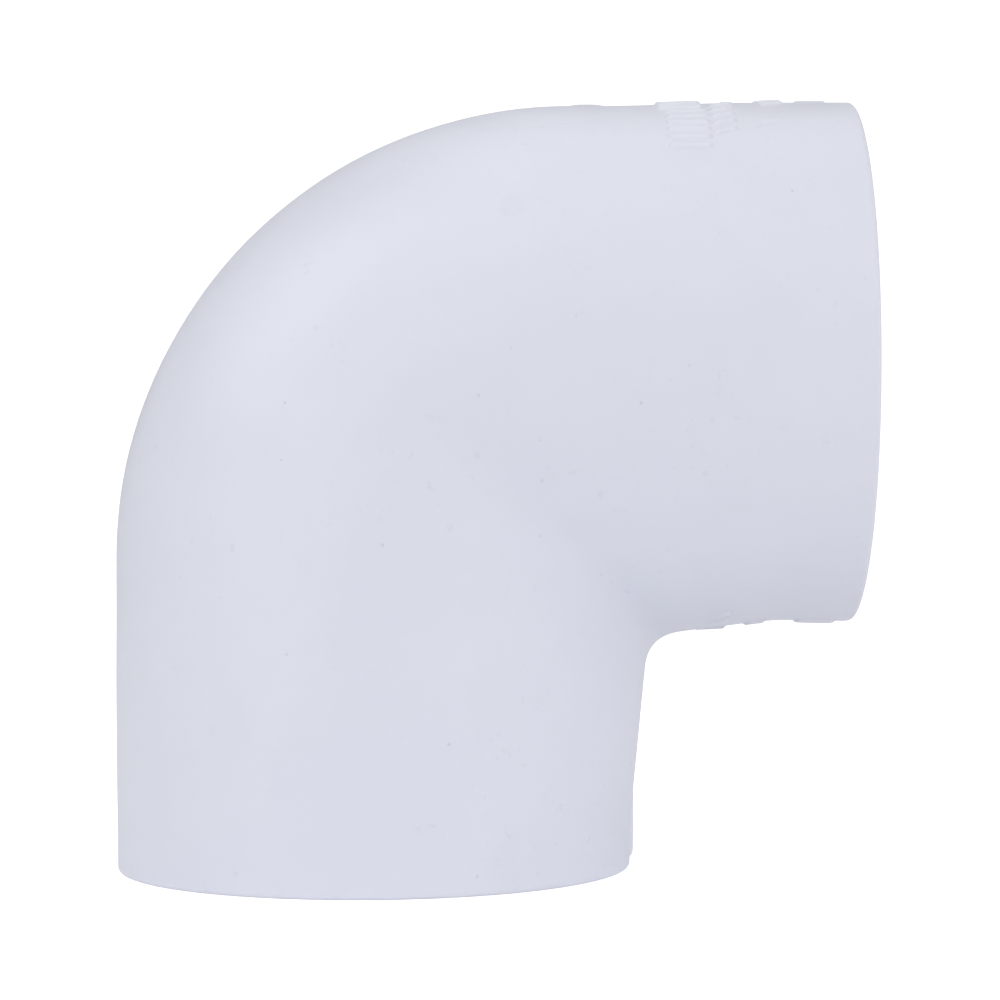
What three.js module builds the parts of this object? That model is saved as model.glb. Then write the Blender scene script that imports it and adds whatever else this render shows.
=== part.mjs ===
// A 90 degree pipe elbow in white PVC with a plain socket at each end, nominal size 1 inch.
// Millimetres, +Z up. It stands on the mouth of its lower hub, and its side hub points along +X.
// The origin is the middle of its footprint, on the surface that it stands on.
//
// The elbow is one moulding, so it is one closed skin. The skin is a loop of rings: up the outside
// from the lower mouth, round the bend, out to the side mouth, over the rim, and back to the lower
// mouth through the side socket, the waterway and the lower socket.
//
// The bend is described in its plane of symmetry by u (towards the side mouth) and w (up), both
// measured from the point where the axes of the two hubs cross. y is the distance from that plane.

import * as THREE from 'three';

// Outside
const HUB_RADIUS = 20.75;
const SIDE_MOUTH_RADIUS = 20.93; // the side hub widens very slightly towards its mouth
const WIDENING_START = 20; // from the crossing
const WIDENING_END = 28;
const LOWER_REACH = 40.5; // from the crossing of the axes to the lower mouth
const SIDE_REACH = 38.4; // from the crossing of the axes to the side mouth
const HEEL_BEND = 15.7; // radius of the middle line of the rounded heel
const THROAT_OFFSET = 22.1; // from each axis to the wall at the throat, which is thickened there
const LOWER_TAPER_END = 37; // from the crossing to where the thickened wall has tapered away
const LOWER_TAPER_RADIUS = 20.48; // the lower hub is slightly flat on the throat side
const SIDE_TAPER_END = 31.9;
const THROAT_BLEND = 2.25; // reach of the fillet where the two legs meet
const RIM_ROUND = 0.75;

// Inside
const SOCKET_MOUTH_RADIUS = 33.66 / 2;
const SOCKET_STOP_RADIUS = 33.27 / 2;
const LOWER_SOCKET_DEPTH = 22.8;
const SIDE_SOCKET_DEPTH = 22.2;
const MOUTH_BEVEL = 1.0;
const WATERWAY_RADIUS = 14.3;
const WATERWAY_BEND = 11.0; // radius of the middle line of the waterway's rounded heel
const WATERWAY_BLEND = 0.8; // reach of the rounding at the waterway's inner corner

// Fineness of the mesh
const SIDES = 72;
const OUTER_BEND_STEPS = 22;
const INNER_BEND_STEPS = 14;
const ROUND_STEPS = 3;
const HALVINGS = 40; // of the search for the skin along a ray

// Placing: the crossing of the axes in the part's frame
const CROSSING_X = (HUB_RADIUS - SIDE_REACH) / 2;
const CROSSING_Z = LOWER_REACH;

// How far x is along the way from a to b, from 0 to 1.
function share(x, a, b) {
  return THREE.MathUtils.clamp((x - a) / (b - a), 0, 1);
}

// The smaller of a and b, with the corner between them rounded over the given reach.
function softMin(a, b, reach) {
  const near = Math.max(reach - Math.abs(a - b), 0) / reach;
  return Math.min(a, b) - near * near * reach / 4;
}

// Distance from the crest line of the bend, in its plane. Outside the crest line the heel turns on
// the radius bend. Inside it the two legs meet as mitred cylinders, which throatU and throatW
// stretch towards the throat, with a fillet between them.
function offCrest(u, w, bend, throatU, throatW, blend) {
  const heel = Math.hypot(Math.max(bend - u, 0), Math.max(bend + w, 0)) - bend;
  const throat = softMin(u / throatU, -w / throatW, blend);
  return Math.hypot(Math.max(heel, 0), Math.max(throat, 0));
}

// Below zero inside the outer shape, above zero outside it.
function outerField(u, w, y) {
  const drop = -w;
  const widening = (SIDE_MOUTH_RADIUS - HUB_RADIUS) * share(u, WIDENING_START, WIDENING_END);
  const lowerWall = THREE.MathUtils.lerp(
    THROAT_OFFSET,
    LOWER_TAPER_RADIUS,
    share(drop, THROAT_OFFSET, LOWER_TAPER_END),
  );
  const sideWall = THREE.MathUtils.lerp(THROAT_OFFSET, HUB_RADIUS, share(u, THROAT_OFFSET, SIDE_TAPER_END));
  const throatU = lowerWall / HUB_RADIUS;
  const throatW = sideWall / HUB_RADIUS;
  const off = offCrest(u, w, HEEL_BEND, throatU, throatW, THROAT_BLEND);
  return Math.hypot(off, y) - HUB_RADIUS - widening;
}

// The same for the waterway.
function waterwayField(u, w, y) {
  return Math.hypot(offCrest(u, w, WATERWAY_BEND, 1, 1, WATERWAY_BLEND), y) - WATERWAY_RADIUS;
}

// A ring lies in a plane that holds the y direction. Its middle is at (u, w), and turn is how far
// its plane has turned round the bend: 0 across the lower leg, a right angle across the side leg.
// reach gives the distance from the middle to the skin along a ray. The first ray is on the heel side.
function ring(u, w, turn, reach) {
  const points = [];
  for (let side = 0; side < SIDES; side += 1) {
    const angle = (side / SIDES) * 2 * Math.PI;
    const ray = {
      u: -Math.cos(angle) * Math.cos(turn),
      w: Math.cos(angle) * Math.sin(turn),
      y: Math.sin(angle),
    };
    const distance = reach(u, w, ray);
    const x = CROSSING_X + u + distance * ray.u;
    const z = CROSSING_Z + w + distance * ray.w;
    points.push([x, distance * ray.y, z]);
  }
  return points;
}

// The reach to the surface where the field changes sign, less the inset.
function reachTo(field, inset = 0) {
  return (u, w, ray) => {
    let inside = 0;
    let outside = 2 * THROAT_OFFSET;
    for (let i = 0; i < HALVINGS; i += 1) {
      const middle = (inside + outside) / 2;
      if (field(u + middle * ray.u, w + middle * ray.w, middle * ray.y) < 0) {
        inside = middle;
      } else {
        outside = middle;
      }
    }
    return inside - inset;
  };
}

// The reach to a round wall about the hub's axis.
function circle(radius) {
  return () => radius;
}

// Each leg makes the ring that lies at a given distance from the crossing of the axes.
const lowerLeg = {
  reach: LOWER_REACH,
  taperEnd: LOWER_TAPER_END,
  socketDepth: LOWER_SOCKET_DEPTH,
  ring: (distance, reach) => ring(0, -distance, 0, reach),
};
const sideLeg = {
  reach: SIDE_REACH,
  taperEnd: SIDE_TAPER_END,
  socketDepth: SIDE_SOCKET_DEPTH,
  ring: (distance, reach) => ring(distance, 0, Math.PI / 2, reach),
};

// The outside of a leg, from its mouth to the start of the bend.
function legOutside(leg, bendStart) {
  const rings = [];
  for (let i = 0; i <= ROUND_STEPS; i += 1) {
    const angle = (i / ROUND_STEPS) * Math.PI / 2;
    const inset = RIM_ROUND * (1 - Math.sin(angle));
    const fromMouth = RIM_ROUND * (1 - Math.cos(angle));
    rings.push(leg.ring(leg.reach - fromMouth, reachTo(outerField, inset)));
  }
  rings.push(leg.ring(leg.taperEnd, reachTo(outerField)));
  rings.push(leg.ring((leg.taperEnd + bendStart) / 2, reachTo(outerField)));
  return rings;
}

// The inside of a leg, from its mouth to the start of the waterway.
function legInside(leg) {
  const stop = leg.reach - leg.socketDepth;
  return [
    leg.ring(leg.reach, circle(SOCKET_MOUTH_RADIUS + MOUTH_BEVEL)),
    leg.ring(leg.reach - MOUTH_BEVEL, circle(SOCKET_MOUTH_RADIUS)),
    leg.ring(stop, circle(SOCKET_STOP_RADIUS)),
    leg.ring(stop, circle(WATERWAY_RADIUS)),
  ];
}

// Rings that fan round a point outside the throat, from across the lower leg to across the side leg.
function bend(pivot, steps, field) {
  const rings = [];
  for (let i = 0; i <= steps; i += 1) {
    const turn = (i / steps) * Math.PI / 2;
    const u = pivot * (1 - Math.cos(turn));
    const w = -pivot * (1 - Math.sin(turn));
    rings.push(ring(u, w, turn, reachTo(field)));
  }
  return rings;
}

// Joins each ring to the next, and the last to the first, into one closed skin.
function skin(rings) {
  const index = [];
  for (let i = 0; i < rings.length; i += 1) {
    const next = (i + 1) % rings.length;
    for (let side = 0; side < SIDES; side += 1) {
      const beside = (side + 1) % SIDES;
      const a = i * SIDES + side;
      const b = i * SIDES + beside;
      const c = next * SIDES + beside;
      const d = next * SIDES + side;
      index.push(a, c, b, a, d, c);
    }
  }
  const geometry = new THREE.BufferGeometry();
  geometry.setAttribute('position', new THREE.Float32BufferAttribute(rings.flat(2), 3));
  geometry.setIndex(index);
  geometry.computeVertexNormals();
  return geometry;
}

function elbowBody() {
  const outerPivot = THROAT_OFFSET + THROAT_BLEND;
  const innerPivot = WATERWAY_RADIUS + WATERWAY_BLEND;
  const rings = [
    ...legOutside(lowerLeg, outerPivot),
    ...bend(outerPivot, OUTER_BEND_STEPS, outerField),
    ...legOutside(sideLeg, outerPivot).reverse(),
    ...legInside(sideLeg),
    ...bend(innerPivot, INNER_BEND_STEPS, waterwayField).reverse(),
    ...legInside(lowerLeg).reverse(),
  ];
  const material = new THREE.MeshStandardMaterial({ color: 0xdadce8, roughness: 0.42, metalness: 0 });
  const mesh = new THREE.Mesh(skin(rings), material);
  mesh.name = 'elbow_body';
  return mesh;
}

const elbow = new THREE.Group();
elbow.add(elbowBody());

export default elbow;
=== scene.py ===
# The looks of a white PVC pipe elbow: one moulded skin, its material, a pale floor and soft light.
#
# Lengths are in millimetres until the mesh, the lights and the camera are made. The skin is a loop
# of rings, as the CAD model's is, but much finer. A place in the plane of symmetry is given by u
# (towards the side mouth) and w (up), measured from the point where the axes of the two hubs cross.
# y is the distance from that plane, and the camera stands on its negative side.

import math

import bpy
import numpy as np
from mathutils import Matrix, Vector


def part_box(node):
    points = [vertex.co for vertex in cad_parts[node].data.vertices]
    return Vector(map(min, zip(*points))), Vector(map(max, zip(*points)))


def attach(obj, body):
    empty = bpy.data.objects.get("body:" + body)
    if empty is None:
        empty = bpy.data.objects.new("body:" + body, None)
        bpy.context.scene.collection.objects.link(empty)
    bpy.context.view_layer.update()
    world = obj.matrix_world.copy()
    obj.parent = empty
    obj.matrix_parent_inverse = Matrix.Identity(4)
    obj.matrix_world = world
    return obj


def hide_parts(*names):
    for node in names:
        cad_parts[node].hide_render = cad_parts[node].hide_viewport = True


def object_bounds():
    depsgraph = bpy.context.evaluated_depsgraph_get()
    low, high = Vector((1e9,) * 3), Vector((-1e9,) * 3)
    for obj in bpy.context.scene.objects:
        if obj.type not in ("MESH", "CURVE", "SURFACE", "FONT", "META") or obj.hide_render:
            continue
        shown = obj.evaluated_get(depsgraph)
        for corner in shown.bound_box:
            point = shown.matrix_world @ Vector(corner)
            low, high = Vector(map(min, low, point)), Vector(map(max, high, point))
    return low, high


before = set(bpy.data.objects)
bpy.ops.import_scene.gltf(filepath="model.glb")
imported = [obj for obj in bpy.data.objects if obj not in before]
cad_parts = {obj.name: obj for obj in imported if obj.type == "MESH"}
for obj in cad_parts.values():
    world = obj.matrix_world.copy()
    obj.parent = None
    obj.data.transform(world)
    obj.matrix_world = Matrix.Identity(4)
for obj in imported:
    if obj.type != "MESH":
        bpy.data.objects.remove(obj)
cad_low, cad_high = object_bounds()

MM = 0.001
PER_MM = 1 / MM
NODE = "elbow_body"

# ---------------------------------------------------------------- sizes, as in the CAD model

HUB_RADIUS = 20.75
SIDE_MOUTH_RADIUS = 20.93
WIDENING = (20.0, 28.0)
LOWER_REACH = 40.5
SIDE_REACH = 38.4
HEEL_BEND = 15.7
THROAT_OFFSET = 22.1
LOWER_TAPER_END = 37.0
LOWER_TAPER_RADIUS = 20.48
SIDE_TAPER_END = 31.9
THROAT_BLEND = 2.25
TAPER_EASE = 1.6  # how far the ends of a taper are rounded, where the CAD model's have corners
RIM_ROUND = 0.4  # the CAD model's is simpler and a little larger

SOCKET_MOUTH_RADIUS = 33.66 / 2
SOCKET_STOP_RADIUS = 33.27 / 2
LOWER_SOCKET_DEPTH = 22.8
SIDE_SOCKET_DEPTH = 22.2
MOUTH_BEVEL = 1.0
WATERWAY_RADIUS = 14.3
WATERWAY_BEND = 11.0
WATERWAY_BLEND = 0.8

OUTER_PIVOT = THROAT_OFFSET + THROAT_BLEND
INNER_PIVOT = WATERWAY_RADIUS + WATERWAY_BLEND
ACROSS_SIDE_HUB = math.pi / 2  # the turn of a ring that lies across the side hub

# Where the axes of the two hubs cross.
box_low, box_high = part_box(NODE)
CROSSING = np.array([
    box_low.x / MM + HUB_RADIUS,
    (box_low.y + box_high.y) / 2 / MM,
    box_low.z / MM + LOWER_REACH,
])


# ---------------------------------------------------------------- the outer and inner shapes

def share(x, start, end):
    return np.clip((x - start) / (end - start), 0, 1)


def smooth(x):
    t = np.clip(x, 0, 1)
    return t * t * (3 - 2 * t)


def rounded_ramp(x, reach):
    """The larger of x and 0, with the corner rounded over the reach to each side."""
    middle = (x + reach) ** 2 / (4 * reach)
    return np.where(x <= -reach, 0.0, np.where(x >= reach, x, middle))


def eased_share(x, start, end, reach=TAPER_EASE):
    """The share of the way from start to end, with both ends of the slope rounded."""
    return (rounded_ramp(x - start, reach) - rounded_ramp(x - end, reach)) / (end - start)


def soft_min(a, b, reach):
    near = np.maximum(reach - np.abs(a - b), 0) / reach
    return np.minimum(a, b) - near * near * reach / 4


def off_crest(u, w, bend, throat_u, throat_w, blend):
    """Distance from the crest line of the bend, in its plane of symmetry."""
    heel = np.hypot(np.maximum(bend - u, 0), np.maximum(bend + w, 0)) - bend
    throat = soft_min(u / throat_u, -w / throat_w, blend)
    return np.hypot(np.maximum(heel, 0), np.maximum(throat, 0))


def outer_field(u, w, y):
    widening = (SIDE_MOUTH_RADIUS - HUB_RADIUS) * eased_share(u, *WIDENING)
    lower_share = eased_share(-w, THROAT_OFFSET, LOWER_TAPER_END)
    side_share = eased_share(u, THROAT_OFFSET, SIDE_TAPER_END)
    lower_wall = THROAT_OFFSET + (LOWER_TAPER_RADIUS - THROAT_OFFSET) * lower_share
    side_wall = THROAT_OFFSET + (HUB_RADIUS - THROAT_OFFSET) * side_share
    off = off_crest(
        u, w, HEEL_BEND, lower_wall / HUB_RADIUS, side_wall / HUB_RADIUS, THROAT_BLEND
    )
    return np.hypot(off, y) - HUB_RADIUS - widening


def waterway_field(u, w, y):
    return np.hypot(off_crest(u, w, WATERWAY_BEND, 1, 1, WATERWAY_BLEND), y) - WATERWAY_RADIUS


# ---------------------------------------------------------------- the grid of rings

ROUNDING_SLACK = 1e-9


def stretches(*parts):
    """Knots along a line, from parts of (start, end, longest step)."""
    knots = [parts[0][0]]
    for start, end, step in parts:
        count = max(1, math.ceil(abs(end - start) / step - ROUNDING_SLACK))
        knots += [start + (end - start) * (i + 1) / count for i in range(count)]
    return knots


# Round a ring, 0 is on the heel side and 180 on the throat side. The steps are fine at both, for
# the raised marks.
ANGLES = np.radians(stretches(
    (-43, 43, 0.58), (43, 148, 2.4), (148, 212, 0.62), (212, 317, 2.4),
)[:-1])
SIDES = len(ANGLES)
HALVINGS = 36  # of the search for the skin along a ray


class Rings:
    """The rings of the skin in order, each with its middle, turn, radii and facts about it.

    The turn is how far the ring's plane has turned round the bend: 0 across the lower hub.
    """

    def __init__(self):
        self.u, self.w, self.turn, self.radius = [], [], [], []
        self.facts = []

    def add(self, u, w, turn, field=None, radius=None, inset=0.0, **facts):
        ray_u = -np.cos(ANGLES) * math.cos(turn)
        ray_w = np.cos(ANGLES) * math.sin(turn)
        ray_y = np.sin(ANGLES)
        if field is None:
            reach = np.full(SIDES, float(radius))
        else:
            inside = np.zeros(SIDES)
            outside = np.full(SIDES, 2 * THROAT_OFFSET)
            for _ in range(HALVINGS):
                middle = (inside + outside) / 2
                within = field(u + middle * ray_u, w + middle * ray_w, middle * ray_y) < 0
                inside = np.where(within, middle, inside)
                outside = np.where(within, outside, middle)
            reach = inside - inset
        self.u.append(u)
        self.w.append(w)
        self.turn.append(turn)
        self.radius.append(reach)
        self.facts.append(facts)


# How worn the skin is: fully at the edge of a mouth, less on the wall next to it, and not at all
# deeper in than the bevel.
WALL_WEAR = 0.4
WALL_WEAR_REACH = 2.0
BORE_WEAR_START = 17.2
BORE_WEAR_REACH = 0.6

rings = Rings()


def lower_ring(distance, **how):
    rings.add(0.0, -distance, 0.0, **how)


def side_ring(distance, **how):
    rings.add(distance, 0.0, ACROSS_SIDE_HUB, **how)


def wall_wear(from_mouth):
    """How worn the outer wall is at a distance from the mouth."""
    return float(WALL_WEAR * smooth(1 - from_mouth / WALL_WEAR_REACH))


def bore_wear(bore_radius):
    """How worn the inside is at a radius: only the flat rim and the bevel are."""
    return float(smooth((bore_radius - BORE_WEAR_START) / BORE_WEAR_REACH))


def rim_rounding(ring, reach, steps=8):
    """Rings round the outer edge of a mouth, from its flat face to the wall."""
    for i in range(steps + 1):
        angle = i / steps * math.pi / 2
        from_mouth = RIM_ROUND * (1 - math.cos(angle))
        inset = RIM_ROUND * (1 - math.sin(angle))
        worn = 1 - (1 - WALL_WEAR) * i / steps
        ring(reach - from_mouth, field=outer_field, inset=inset, outside=1, rim=worn)


def fan(pivot, turns, field, **facts):
    """Rings that fan round a point outside the throat, at the given turns."""
    for degrees in turns:
        turn = math.radians(degrees)
        rings.add(
            pivot * (1 - math.cos(turn)), -pivot * (1 - math.sin(turn)), turn, field=field, **facts
        )


def corner(before, at, after, radius, steps):
    """Points that round the corner at `at` between two straight lines, on an arc."""
    before, at, after = (np.array(p, float) for p in (before, at, after))
    a = (before - at) / np.linalg.norm(before - at)
    b = (after - at) / np.linalg.norm(after - at)
    half = math.acos(np.clip(np.dot(a, b), -1, 1)) / 2
    back = radius / math.tan(half)
    middle = at + (a + b) / np.linalg.norm(a + b) * radius / math.sin(half)
    first = math.atan2(*(at + a * back - middle)[::-1])
    last = math.atan2(*(at + b * back - middle)[::-1])
    sweep = (last - first + math.pi) % (2 * math.pi) - math.pi
    ways = [first + sweep * i / steps for i in range(steps + 1)]
    return [middle + radius * np.array([math.cos(way), math.sin(way)]) for way in ways]


# Inside a mouth: the radii on which its edges are rounded, and the rings on its flat faces.
RIM_EDGE_ROUND = 0.12
BEVEL_ROUND = 0.5
STOP_ROUND = 0.35
BORE_ROUND = 0.25
RIM_RINGS = (18.9, 18.2)
STOP_RINGS = (15.9, 15.1)
SOCKET_STEPS = 22
SOCKET_WALL = (0.93, 0.02)  # its first and last ring, as shares of the depth from the stop
BORE_START = 0.6  # from the stop to the first ring that is all waterway


def leg_inside(reach, depth):
    """(distance, radius) from the outer edge of the flat rim in to the start of the waterway."""
    stop = reach - depth
    flat = (reach, HUB_RADIUS)
    mouth = (reach, SOCKET_MOUTH_RADIUS + MOUTH_BEVEL)
    bevel = (reach - MOUTH_BEVEL, SOCKET_MOUTH_RADIUS)
    seat = (stop, SOCKET_STOP_RADIUS)
    bore = (stop, WATERWAY_RADIUS)
    deep = (stop - BORE_START, WATERWAY_RADIUS)
    wall = [
        (stop + depth * s, SOCKET_STOP_RADIUS + (SOCKET_MOUTH_RADIUS - SOCKET_STOP_RADIUS) * s)
        for s in np.linspace(*SOCKET_WALL, SOCKET_STEPS)
    ]
    return [
        *((reach, r) for r in RIM_RINGS),
        *corner(flat, mouth, bevel, RIM_EDGE_ROUND, steps=3),
        *corner(mouth, bevel, seat, BEVEL_ROUND, steps=4),
        *wall,
        *corner(bevel, seat, bore, STOP_ROUND, steps=5),
        *((stop, r) for r in STOP_RINGS),
        *corner(seat, bore, deep, BORE_ROUND, steps=4),
        deep,
    ]


# The rings lie closest where there are marks, at the gate and at the edges.
THROAT_MARKS_START = 33.8
PAST_RIM = 0.05  # from a rounded rim to the next ring


# Up the outside of the lower hub.
rim_rounding(lower_ring, LOWER_REACH)
for d in stretches(
    (LOWER_REACH - RIM_ROUND - PAST_RIM, THROAT_MARKS_START, 0.18),
    (THROAT_MARKS_START, OUTER_PIVOT, 0.8),
)[:-1]:
    lower_ring(d, field=outer_field, outside=1, rim=wall_wear(LOWER_REACH - d))

# Round the bend.
fan(OUTER_PIVOT, stretches(
    (0, 77.5, 1.55), (77.5, 83, 0.3), (83, 87.1, 1.0), (87.1, 90, 0.2),
), outer_field, outside=1, rim=0)

# Out along the side hub, and over its rim.
SIDE_MARKS_END = 37.0
for d in stretches(
    (OUTER_PIVOT, SIDE_MARKS_END, 0.16),
    (SIDE_MARKS_END, SIDE_REACH - RIM_ROUND - PAST_RIM, 0.2),
)[1:]:
    side_ring(d, field=outer_field, outside=1, rim=wall_wear(SIDE_REACH - d))
# The rounding starts at the flat face, so here its rings are put in the opposite order.
first_of_rim = len(rings.u)
rim_rounding(side_ring, SIDE_REACH)
for table in (rings.u, rings.w, rings.turn, rings.radius, rings.facts):
    table[first_of_rim:] = table[first_of_rim:][::-1]

# In through the side socket and the waterway, and out through the lower socket.
for d, r in leg_inside(SIDE_REACH, SIDE_SOCKET_DEPTH):
    side_ring(d, radius=r, outside=0, rim=bore_wear(r))
fan(INNER_PIVOT, stretches(
    (90, 47, 3.0), (47, 43, 0.5), (43, 0, 3.0),
), waterway_field, outside=0, rim=0)
for d, r in leg_inside(LOWER_REACH, LOWER_SOCKET_DEPTH)[::-1]:
    lower_ring(d, radius=r, outside=0, rim=bore_wear(r))

middle_u, middle_w, turn = (np.array(t)[:, None] for t in (rings.u, rings.w, rings.turn))
radius = np.array(rings.radius)
outside = np.array([f["outside"] for f in rings.facts], float)[:, None]
rim = np.array([f["rim"] for f in rings.facts], float)[:, None] + 0 * radius

ray_u = -np.cos(ANGLES)[None, :] * np.cos(turn)
ray_w = np.cos(ANGLES)[None, :] * np.sin(turn)
ray_y = np.sin(ANGLES)[None, :] + 0 * turn
u = middle_u + radius * ray_u
w = middle_w + radius * ray_w
y = radius * ray_y


# ---------------------------------------------------------------- what stands proud of the skin

def bar(x, s, at, size, lean_degrees):
    """A raised bar with rounded ends: 1 on its top, 0 off it."""
    lean = math.radians(lean_degrees)
    dx, ds = x - at[0], s - at[1]
    along = np.abs(dx * math.cos(lean) + ds * math.sin(lean))
    across = np.abs(ds * math.cos(lean) - dx * math.sin(lean))
    r = min(size) / 2
    past_end = np.maximum(along - size[0] / 2 + r, 0)
    past_side = np.maximum(across - size[1] / 2 + r, 0)
    out = np.hypot(past_end, past_side) - r
    return smooth(0.5 - out / MARK_EDGE)


# Rows of plain tally marks stand in for the moulded markings: (place along the hub, first and last
# place round it, how many, length, width, lean in degrees, height). Places round the hub are arc
# lengths towards the front, from its top, its underside or the throat.
TOP_ROWS = [
    (24.45, -13.9, 6.5, 16, 3.5, 0.5, 0, 0.24),
    (24.85, 7.9, 14.4, 6, 3.2, 0.45, 0, 0.20),
    (27.7, -12.2, -5.8, 5, 1.9, 0.45, 26, 0.18),
    (28.4, -1.7, 2.2, 3, 1.0, 0.5, 0, 0.09),
    (27.65, 5.8, 12.2, 5, 1.9, 0.45, -24, 0.19),
    (31.5, -5.0, -3.2, 2, 1.9, 0.45, 30, 0.17),
    (31.55, -1.4, 1.9, 3, 2.0, 0.5, 0, 0.17),
    (31.7, 3.6, 5.3, 2, 2.1, 0.5, -27, 0.21),
    (31.3, 10.2, 11.5, 2, 1.6, 0.4, -20, 0.08),
    (35.1, -1.5, 2.0, 3, 2.4, 0.55, 0, 0.16),
]
UNDER_ROWS = [
    (27.2, -6.8, -5.0, 2, 1.9, 0.5, -42, 0.24),
    (27.0, -2.4, 1.2, 3, 2.4, 0.55, 0, 0.23),
    (27.4, 5.1, 6.9, 2, 2.1, 0.5, 42, 0.25),
    (30.55, -2.4, 2.8, 4, 1.6, 0.55, 0, 0.18),
    (35.4, -2.4, 2.4, 4, 3.0, 0.55, 0, 0.23),
]
THROAT_ROWS = [
    (37.0, -3.0, 3.0, 5, 4.9, 0.65, 0, 0.25),
]
# Where the wall below them tapers, the marks have a level top, so they grow towards the mouth.
THROAT_MARKS_GROWTH = (34.0, 37.2)
UNDER_MARKS_GROWTH = (25.8, 28.2)
UNDER_MARKS_LEAST = 0.25  # the share of their height that they start with
MARK_EDGE = 0.2  # how wide the slope round a mark is
# No mark lies nearer to the crossing of the axes than this.
SIDE_MARKS_FROM = 21.5
LOWER_MARKS_FROM = 30.0


def tally(x, s, rows):
    """How far each point stands proud because of the rows of marks."""
    proud = np.zeros_like(x)
    for along, first, last, count, length, width, lean, height in rows:
        for around in np.linspace(first, last, count):
            whole = bar(x, s, (along, around), (length, width), lean)
            proud = np.maximum(proud, height * whole)
    return proud


on_side_hub = (u > SIDE_MARKS_FROM) & (turn > math.radians(70))
on_lower_hub = (w < -LOWER_MARKS_FROM) & (turn < math.radians(5))
from_top = HUB_RADIUS * np.arctan2(-y, w)
from_below = HUB_RADIUS * np.arctan2(-y, -w)
from_throat = HUB_RADIUS * np.arctan2(-y, u)
marks = np.where(on_side_hub & (w > 0), tally(u, from_top, TOP_ROWS), 0)
grown = UNDER_MARKS_LEAST + (1 - UNDER_MARKS_LEAST) * share(u, *UNDER_MARKS_GROWTH)
marks += np.where(on_side_hub & (w < 0), grown * tally(u, from_below, UNDER_ROWS), 0)
grown = share(-w, *THROAT_MARKS_GROWTH)
marks += np.where(on_lower_hub & (u > 0), grown * tally(-w, from_throat, THROAT_ROWS), 0)
marks *= outside

# The trimmed gate on top of the heel, and the line where the two halves of the mould met.
GATE_U = 17.3
GATE_HALF_LENGTH = 0.5
GATE_RADIUS = 1.9
GATE_HEIGHT = 0.24
GATE_SPREAD = 0.9  # below 1, its slope is a little wider across the hub than along it
PARTING_HEIGHT = 0.045
PARTING_WIDTH = 0.32
PARTING_RUBBED = 0.8  # the share that is worn off at a mouth
gate_off = np.hypot(np.maximum(np.abs(u - GATE_U) - GATE_HALF_LENGTH, 0), y * GATE_SPREAD)
gate = GATE_HEIGHT * smooth(1 - gate_off / GATE_RADIUS) * (w > 0)
parting = PARTING_HEIGHT * np.exp(-(y / PARTING_WIDTH) ** 2) * (1 - PARTING_RUBBED * rim)

# The skin is not quite true anywhere: it has sunk and drawn a little as it cooled. These are
# (wavelength, height) of waves that cross it in random directions.
WAVES = ((24, 0.022), (17, 0.016), (11, 0.010), (7, 0.005))
WAVES_OF_EACH = 3
WAVES_MEET = 1.7  # makes up for waves of one length that seldom crest together
WAVES_LOST_AT_RIM = 0.7
INNER_WAVES = 0.4  # the cores were truer than the cavity
SKIN_SEED = 40
rng = np.random.default_rng(SKIN_SEED)
waves = np.zeros_like(u)
for wavelength, height in WAVES:
    for _ in range(WAVES_OF_EACH):
        direction = rng.normal(size=3)
        direction /= np.linalg.norm(direction)
        phase = rng.uniform(0, 2 * math.pi)
        walk = u * direction[0] + y * direction[1] + w * direction[2]
        crest = np.sin(2 * math.pi * walk / wavelength + phase)
        waves += height / WAVES_OF_EACH * WAVES_MEET * crest
waves *= 1 - WAVES_LOST_AT_RIM * rim

# The underside of the side hub has drawn in a little more than the rest.
DRAWN_IN = 0.2
DRAWN_IN_START = 20  # along the hub
DRAWN_IN_SLOPE = 6
DRAWN_IN_FROM_AXIS = 4  # down from the axis
STIFF_RIM_START = 34
STIFF_RIM = 0.5  # the share of it that the mouth withstood
drawn_in = DRAWN_IN * smooth((u - DRAWN_IN_START) / DRAWN_IN_SLOPE)
drawn_in *= share(-w, DRAWN_IN_FROM_AXIS, HUB_RADIUS) ** 2
drawn_in *= 1 - STIFF_RIM * share(u, STIFF_RIM_START, SIDE_REACH)

# Inside, the two cores met across the bend.
CORE_LINE_TURN = 45
CORE_LINE_DEPTH = 0.07
CORE_LINE_DEGREES = 0.55
off_core_line = (np.degrees(turn) - CORE_LINE_TURN) / CORE_LINE_DEGREES
core_line = -CORE_LINE_DEPTH * np.exp(-off_core_line ** 2)

proud = outside * (marks + gate + parting + waves - drawn_in)
proud += (1 - outside) * (core_line + INNER_WAVES * waves * (1 - rim))
u += proud * ray_u
w += proud * ray_w
y += proud * ray_y

# No ring leaves the space between the two mouths.
u = np.minimum(u, SIDE_REACH)
w = np.maximum(w, -LOWER_REACH)

# ---------------------------------------------------------------- the mesh

def ring_quads(ring_count, sides):
    """Faces that join each ring to the next, and the last to the first."""
    ring, side = np.meshgrid(np.arange(ring_count), np.arange(sides), indexing="ij")
    next_ring, next_side = (ring + 1) % ring_count, (side + 1) % sides
    corners = ((ring, side), (next_ring, side), (next_ring, next_side), (ring, next_side))
    return np.stack([r * sides + s for r, s in corners], axis=-1).reshape(-1, 4)


points = np.stack([u, y, w], axis=-1).reshape(-1, 3) + CROSSING
mesh = bpy.data.meshes.new("elbow_skin")
mesh.from_pydata((points * MM).tolist(), [], ring_quads(len(rings.u), SIDES).tolist())
mesh.polygons.foreach_set("use_smooth", [True] * len(mesh.polygons))


def attribute(name, values):
    made = mesh.attributes.new(name, "FLOAT", "POINT")
    made.data.foreach_set("value", np.broadcast_to(values, u.shape).astype(np.float32).ravel())


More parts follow.
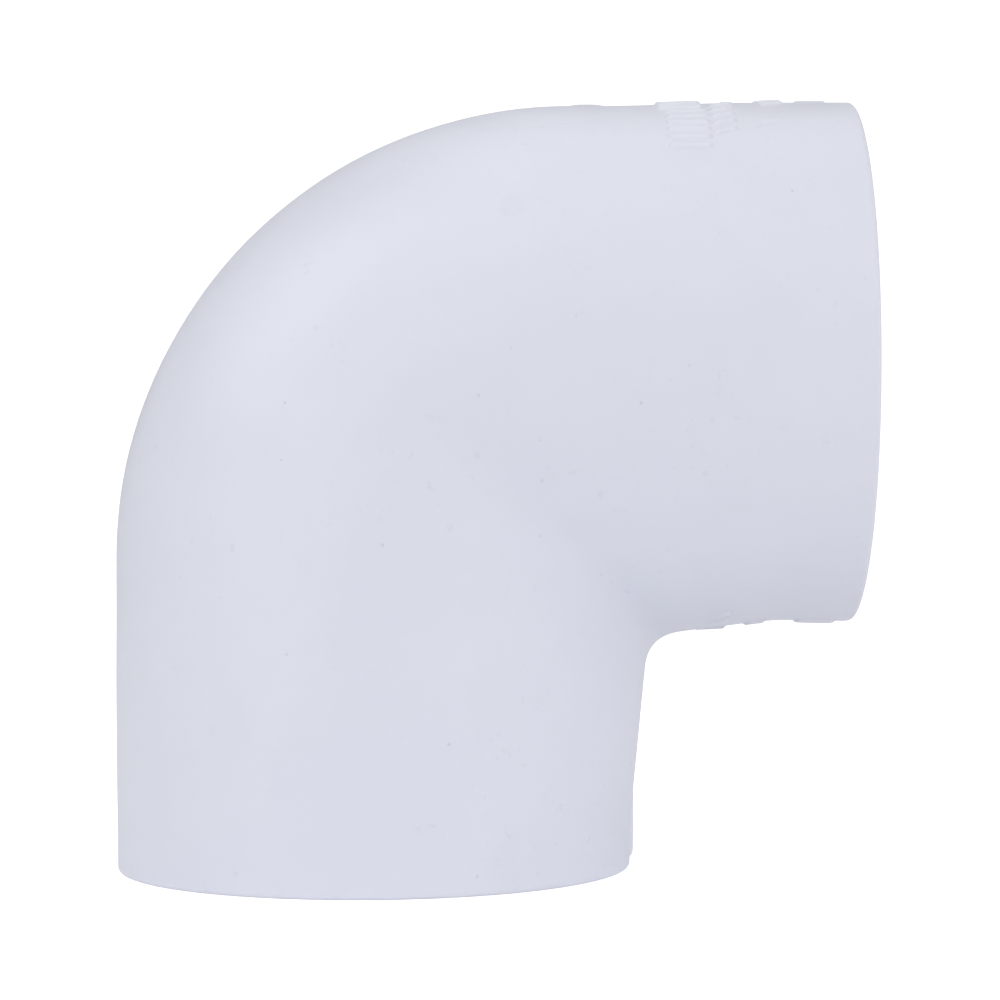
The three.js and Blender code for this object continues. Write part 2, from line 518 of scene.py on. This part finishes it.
# How far each point is along the run of the elbow, so that streaks can follow it.
BEND_RUN = 24.0  # millimetres of run in a radian of the bend
round_bend = turn * BEND_RUN
past_bend = round_bend + u - OUTER_PIVOT
run = np.where(turn == ACROSS_SIDE_HUB, past_bend, round_bend)
run = np.where(turn == 0, w + OUTER_PIVOT, run)
attribute("rim", rim)
attribute("inner", 1 - outside)
attribute("mark", marks / marks.max())
attribute("run", run)
attribute("round", np.degrees(ANGLES)[None, :])
mesh.validate()
mesh.update()

elbow = bpy.data.objects.new("elbow_moulding", mesh)
bpy.context.scene.collection.objects.link(elbow)
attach(elbow, "root")
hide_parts(NODE)


# ---------------------------------------------------------------- nodes

class Nodes:
    """Short calls that make and join the nodes of one material or world."""

    def __init__(self, tree):
        self.tree = tree
        tree.nodes.clear()

    def set(self, socket, value):
        if isinstance(value, bpy.types.NodeSocket):
            self.tree.links.new(value, socket)
        else:
            socket.default_value = value

    def make(self, kind, settings=None, **inputs):
        """A node. Inputs go by name, with _ for a space, or by number, as i0, i1 and so on."""
        node = self.tree.nodes.new(kind)
        for name, value in (settings or {}).items():
            setattr(node, name, value)
        for name, value in inputs.items():
            numbered = name[0] == "i" and name[1:].isdigit()
            key = int(name[1:]) if numbered else name.replace("_", " ")
            self.set(node.inputs[key], value)
        return node

    def attribute(self, name):
        return self.make("ShaderNodeAttribute", {"attribute_name": name}).outputs["Fac"]

    def math(self, operation, a, b=0.0, clamp=False):
        settings = {"operation": operation, "use_clamp": clamp}
        return self.make("ShaderNodeMath", settings, i0=a, i1=b).outputs[0]

    def add(self, a, b):
        return self.math("ADD", a, b)

    def times(self, a, b, clamp=False):
        return self.math("MULTIPLY", a, b, clamp)

    def distance(self, a, b):
        apart = self.make("ShaderNodeVectorMath", {"operation": "DISTANCE"}, i0=a, i1=b)
        return apart.outputs["Value"]

    def noise(self, vector, scale, detail=3.0, rough=0.5, distortion=0.0):
        return self.make(
            "ShaderNodeTexNoise", None, Vector=vector, Scale=scale, Detail=detail,
            Roughness=rough, Distortion=distortion,
        ).outputs["Fac"]

    def spread(self, value, low, high, to_low=0.0, to_high=1.0):
        """The value eased from the range low..high to the range to_low..to_high."""
        return self.make(
            "ShaderNodeMapRange", {"interpolation_type": "SMOOTHSTEP"}, Value=value,
            From_Min=low, From_Max=high, To_Min=to_low, To_Max=to_high,
        ).outputs["Result"]

    def mix(self, factor, a, b):
        node = self.make("ShaderNodeMix", {"data_type": "RGBA"})
        for index, value in ((0, factor), (6, a), (7, b)):
            self.set(node.inputs[index], value)
        return node.outputs[2]

    def finish(self, kind, surface):
        out = self.make(kind)
        self.tree.links.new(surface, out.inputs["Surface"])


def new_material(name):
    material = bpy.data.materials.new(name)
    material.use_nodes = True
    return material, Nodes(material.node_tree)


# ---------------------------------------------------------------- the PVC

PVC = (0.735, 0.752, 0.848, 1)
PVC_PALE = (0.760, 0.776, 0.868, 1)
# A duller tone for streaks, scuffs, pits, the pin witness and worn edges. It is also mixed into the
# inside as painted shade.
PVC_DULL_AND_SHADE = (0.665, 0.678, 0.755, 1)
# Painted highlight: the tops of the raised marks are made paler, as if they caught more light.
PVC_MARK_HIGHLIGHT = (0.815, 0.828, 0.905, 1)
DIRT = (0.40, 0.385, 0.36, 1)
PVC_IOR = 1.53
SCATTER = 0.12  # how much of the light goes into the skin and comes out near by
SCATTER_COLOURS = (1.0, 0.95, 1.0)
SCATTER_REACH = 0.9
PIN = (11.1, 11.2)
PIN_RADIUS = 1.15
PIN_SOFT_EDGE = 0.3
STREAKS_ALONG = 0.05  # per millimetre of the run
STREAKS_ROUND = 0.13  # per degree round a ring
SPECK_EDGE_SHAKE = 0.22

# How fine each noise is, in features per millimetre.
CLOUDS = 0.085
STREAK_PATCHES = 0.11
PITTED_PATCHES = 0.13
SCUFF_PATCHES = 0.16
SWELLS = 0.3
SPECKS = 0.42
SCUFFS = 0.55
MOTTLES = 0.9
PITS = 1.4
GRAIN = 3.2
SPECK_EDGES = 9

# The scuffs are lines of a noise that is stretched along x and turned both ways.
SCUFF_WAYS = ((0.5, 0.0), (-0.9, 7.3))  # (turn in radians, shift to another part of the noise)
SCUFF_TILT = 0.35  # radians
SCUFF_STRETCH = (0.09, 1.0, 1.6)
SCUFF_WIDTH = 0.006  # in levels of the noise


def flow_streaks(n, place):
    """Long faint streaks that follow the run of the moulding, in patches."""
    flow = n.make(
        "ShaderNodeCombineXYZ", None,
        X=n.times(n.attribute("run"), STREAKS_ALONG),
        Y=n.times(n.attribute("round"), STREAKS_ROUND), Z=0.0,
    ).outputs[0]
    patches = n.spread(n.noise(place, STREAK_PATCHES * PER_MM, 2.0), 0.42, 0.66)
    return n.times(n.noise(flow, 1.0, 5.0, 0.6, 0.6), patches)


def dots(n, place, per_mm, least, size):
    """Ragged dots in a few cells of a Voronoi pattern: how dark each point is, from 0 to 1."""
    shaken = n.make(
        "ShaderNodeTexNoise", None, Vector=place, Scale=SPECK_EDGES * PER_MM, Detail=2.0
    ).outputs["Color"]
    shake = (SPECK_EDGE_SHAKE * MM,) * 3
    ragged = n.make(
        "ShaderNodeVectorMath", {"operation": "MULTIPLY_ADD"}, i0=shaken, i1=shake, i2=place
    ).outputs[0]
    cells = n.make(
        "ShaderNodeTexVoronoi", {"feature": "F1"},
        Vector=ragged, Scale=per_mm * PER_MM, Randomness=1.0,
    )
    chosen = n.make("ShaderNodeSeparateColor", None, Color=cells.outputs["Color"]).outputs[0]
    reach = n.math("MAXIMUM", n.spread(chosen, least, 1.0, 0.0, size), 0.001)
    inside = n.math("SUBTRACT", 1.0, n.math("DIVIDE", cells.outputs["Distance"], reach))
    return n.times(inside, 2.0, True)


def pin_witness(n, place):
    """The faint round witness of an ejector pin on the front of the heel."""
    pin_y = -math.sqrt(HUB_RADIUS ** 2 - PIN[1] ** 2)
    at = tuple((CROSSING + np.array([PIN[0], pin_y, PIN[1]])) * MM)
    full = PIN_RADIUS - PIN_SOFT_EDGE
    return n.spread(n.distance(place, at), full * MM, PIN_RADIUS * MM, 1.0, 0.0)


def handling_scuffs(n, place):
    """Faint short scratches in two directions, in patches."""
    scuffs = 0.0
    for angle, shift in SCUFF_WAYS:
        turned = n.make("ShaderNodeMapping", None, Vector=place)
        turned.inputs["Location"].default_value = (shift, shift, shift)
        turned.inputs["Rotation"].default_value = (0.0, angle, SCUFF_TILT)
        turned.inputs["Scale"].default_value = SCUFF_STRETCH
        scratch = n.noise(turned.outputs[0], SCUFFS * PER_MM, 1.5, 0.5)
        off_line = n.math("ABSOLUTE", n.math("SUBTRACT", scratch, 0.5))
        patch = n.spread(n.noise(place, SCUFF_PATCHES * PER_MM + shift, 1.0), 0.56, 0.72)
        scuffs = n.add(n.times(n.spread(off_line, 0.0, SCUFF_WIDTH, 1.0, 0.0), patch), scuffs)
    return scuffs


def white_pvc():
    material, n = new_material("white_pvc")
    place = n.make("ShaderNodeTexCoord").outputs["Object"]
    rim_near = n.attribute("rim")
    streaks = flow_streaks(n, place)
    cloud = n.noise(place, CLOUDS * PER_MM, 3.0, 0.55, 0.6)
    mottle = n.noise(place, MOTTLES * PER_MM, 3.0, 0.6)
    swell = n.noise(place, SWELLS * PER_MM, 2.0)
    grain = n.noise(place, GRAIN * PER_MM, 2.0, 0.5)
    specks = dots(n, place, SPECKS, least=0.5, size=0.075)
    pitted = n.spread(n.noise(place, PITTED_PATCHES * PER_MM, 2.0), 0.44, 0.60)
    pits = n.times(n.spread(n.noise(place, PITS * PER_MM, 4.0, 0.65), 0.61, 0.70), pitted)
    pin = pin_witness(n, place)
    scuffs = handling_scuffs(n, place)
    worn = n.times(rim_near, n.spread(mottle, 0.45, 0.75), True)

    colour = n.mix(n.spread(cloud, 0.35, 0.7, 0.0, 0.35), PVC, PVC_PALE)
    colour = n.mix(n.spread(streaks, 0.3, 0.7, 0.0, 0.10), colour, PVC_DULL_AND_SHADE)
    for amount, strength, shade in (
        # The raised marks are painted paler on top: a painted highlight for the light they catch.
        (n.attribute("mark"), 0.6, PVC_MARK_HIGHLIGHT),
        (scuffs, 0.2, PVC_DULL_AND_SHADE),
        (pin, 0.18, PVC_DULL_AND_SHADE),
        (pits, 0.5, PVC_DULL_AND_SHADE),
        # The inside of the sockets and the waterway is painted darker: painted shade in the hollow.
        (n.attribute("inner"), 0.12, PVC_DULL_AND_SHADE),
        (worn, 0.3, PVC_DULL_AND_SHADE),
        (specks, 0.30, DIRT),
    ):
        colour = n.mix(n.times(amount, strength), colour, shade)

    rough = n.add(n.spread(cloud, 0.3, 0.7, 0.36, 0.44), n.spread(mottle, 0.3, 0.7, 0.0, 0.05))
    for amount, strength in ((scuffs, 0.12), (pin, 0.1), (rim_near, 0.12)):
        rough = n.add(rough, n.times(amount, strength))

    height = n.times(grain, 0.004)
    for amount, millimetres in (
        (mottle, 0.010),
        (swell, 0.030),
        (streaks, 0.006),
        (scuffs, -0.004),
        (pits, -0.012),
        (pin, -0.01),
        (n.times(rim_near, mottle), 0.03),
    ):
        height = n.add(height, n.times(amount, millimetres))
    bump = n.make("ShaderNodeBump", None, Strength=1.0, Distance=MM, Height=height)

    shader = n.make(
        "ShaderNodeBsdfPrincipled", None, Base_Color=colour, Roughness=rough,
        Normal=bump.outputs["Normal"],
    )
    shader.inputs["IOR"].default_value = PVC_IOR
    shader.inputs["Subsurface Weight"].default_value = SCATTER
    shader.inputs["Subsurface Radius"].default_value = SCATTER_COLOURS
    shader.inputs["Subsurface Scale"].default_value = SCATTER_REACH * MM
    n.finish("ShaderNodeOutputMaterial", shader.outputs[0])
    return material


mesh.materials.append(white_pvc())


# ---------------------------------------------------------------- the floor

FLOOR_HALF = 1.2
FLOOR_STEPS = 24
FLOOR_TONES = ((0.80, 0.80, 0.80, 1), (0.84, 0.84, 0.84, 1))
FLOOR_MOTTLE = 300.0  # per metre
FLOOR_GLOW = 0.150  # the floor is a light table, and this is its glow
TABLE_BRIGHTENING = 0.6  # what makes it read as plain white to the camera
FOOT_GLOW = 0.04  # a little more where the elbow stands
FOOT_GLOW_REACH = (20.9, 22.2)


def floor_mesh():
    line = [FLOOR_HALF * (2 * i / FLOOR_STEPS - 1) for i in range(FLOOR_STEPS + 1)]
    corners = [(a, b, box_low.z) for b in line for a in line]
    across = FLOOR_STEPS + 1
    quads = [
        (j * across + i, j * across + i + 1, (j + 1) * across + i + 1, (j + 1) * across + i)
        for j in range(FLOOR_STEPS) for i in range(FLOOR_STEPS)
    ]
    made = bpy.data.meshes.new("floor")
    made.from_pydata(corners, [], quads)
    return made


def pale_floor():
    material, n = new_material("pale_floor")
    place = n.make("ShaderNodeTexCoord").outputs["Object"]
    white = n.mix(n.noise(place, FLOOR_MOTTLE), *FLOOR_TONES)
    hub_foot = (CROSSING[0] * MM, CROSSING[1] * MM, box_low.z)
    near, far = FOOT_GLOW_REACH
    near_foot = n.spread(n.distance(place, hub_foot), near * MM, far * MM, FOOT_GLOW, 0.0)
    seen = n.make("ShaderNodeLightPath").outputs["Is Camera Ray"]
    shader = n.make("ShaderNodeBsdfPrincipled", None, Base_Color=white, Roughness=0.9)
    shader.inputs["Emission Color"].default_value = (1, 1, 1, 1)
    glow = n.add(n.times(seen, TABLE_BRIGHTENING), n.add(near_foot, FLOOR_GLOW))
    n.set(shader.inputs["Emission Strength"], glow)
    n.finish("ShaderNodeOutputMaterial", shader.outputs[0])
    return material


floor = bpy.data.objects.new("floor", floor_mesh())
floor.data.materials.append(pale_floor())
bpy.context.scene.collection.objects.link(floor)


# ---------------------------------------------------------------- the light

DOME = 0.345
LOBES = {"right": 0.768, "front": 0.293}
TOWARDS = {"right": ("X", 1), "front": ("Y", -1)}
LOBE_SHARPNESS = 2.0
BACKDROP = 1.2
WHITE = (1, 1, 1, 1)
SOFTBOXES = {
    # name: (place from the middle of the elbow in metres, size in metres, watts)
    "overhead_softbox": ((-0.12, -0.10, 0.55), (0.34, 0.34), 0.374),
    "top_back_softbox": ((0.0, 0.22, 0.55), (0.35, 0.35), 0.284),
    "top_front_softbox": ((0.0, -0.40, 0.45), (0.40, 0.30), 0.206),
    "high_left_softbox": ((-0.5, -0.1, 0.45), (0.4, 0.4), 0.952),
    "front_left_fill": ((-0.45, -0.5, 0.10), (0.5, 0.5), 0.645),
    "front_right_fill": ((0.45, -0.5, 0.10), (0.5, 0.5), 0.667),
}


def light_tent():
    """A white tent: an even dome with brighter lobes, and a white backdrop for the camera."""
    world = bpy.data.worlds.new("tent")
    world.use_nodes = True
    bpy.context.scene.world = world
    n = Nodes(world.node_tree)
    sky = n.make("ShaderNodeTexCoord").outputs["Generated"]
    direction = n.make("ShaderNodeSeparateXYZ", None, Vector=sky).outputs
    glow = DOME
    for name, strength in LOBES.items():
        axis, sign = TOWARDS[name]
        facing = n.math("MAXIMUM", n.times(direction[axis], sign), 0.0)
        glow = n.add(n.times(n.math("POWER", facing, LOBE_SHARPNESS), strength), glow)
    tent = n.make("ShaderNodeBackground", None, Color=WHITE, Strength=glow).outputs[0]
    backdrop = n.make("ShaderNodeBackground", None, Color=WHITE, Strength=BACKDROP).outputs[0]
    seen = n.make("ShaderNodeLightPath").outputs["Is Camera Ray"]
    both = n.make("ShaderNodeMixShader", None, i0=seen, i1=tent, i2=backdrop).outputs[0]
    n.finish("ShaderNodeOutputWorld", both)


def softbox(name, at, aim, size, watts):
    lamp = bpy.data.lights.new(name, "AREA")
    lamp.shape = "RECTANGLE"
    lamp.size, lamp.size_y = size
    lamp.energy = watts
    placed = bpy.data.objects.new(name, lamp)
    placed.location = at
    placed.rotation_euler = (aim - at).to_track_quat("-Z", "Y").to_euler()
    placed.visible_camera = False
    bpy.context.scene.collection.objects.link(placed)


light_tent()
centre = (cad_low + cad_high) / 2
for name, (offset, size, watts) in SOFTBOXES.items():
    softbox(name, centre + Vector(offset), centre, size, watts)


# ---------------------------------------------------------------- the camera

CAMERA_DISTANCE = 234.0  # from the plane of symmetry
CAMERA_RIGHT = 10.15  # from the crossing
CAMERA_DOWN = 10.95
CAMERA_ROLL = 0.25
FIELD_WIDTH = 80.98  # of the view, in the plane of symmetry
SENSOR_WIDTH = 36.0


def add_camera():
    lens = bpy.data.cameras.new("camera")
    lens.sensor_width = SENSOR_WIDTH
    lens.lens = SENSOR_WIDTH * CAMERA_DISTANCE / FIELD_WIDTH
    lens.clip_start = 0.01
    lens.clip_end = 10.0
    camera = bpy.data.objects.new("camera", lens)
    offset = np.array([CAMERA_RIGHT, -CAMERA_DISTANCE, -CAMERA_DOWN])
    camera.location = (CROSSING + offset) * MM
    camera.rotation_euler = (math.pi / 2, math.radians(CAMERA_ROLL), 0)
    bpy.context.scene.collection.objects.link(camera)
    bpy.context.scene.camera = camera


add_camera()
bpy.context.scene.view_settings.view_transform = "Standard"
bpy.context.scene.view_settings.look = "None"
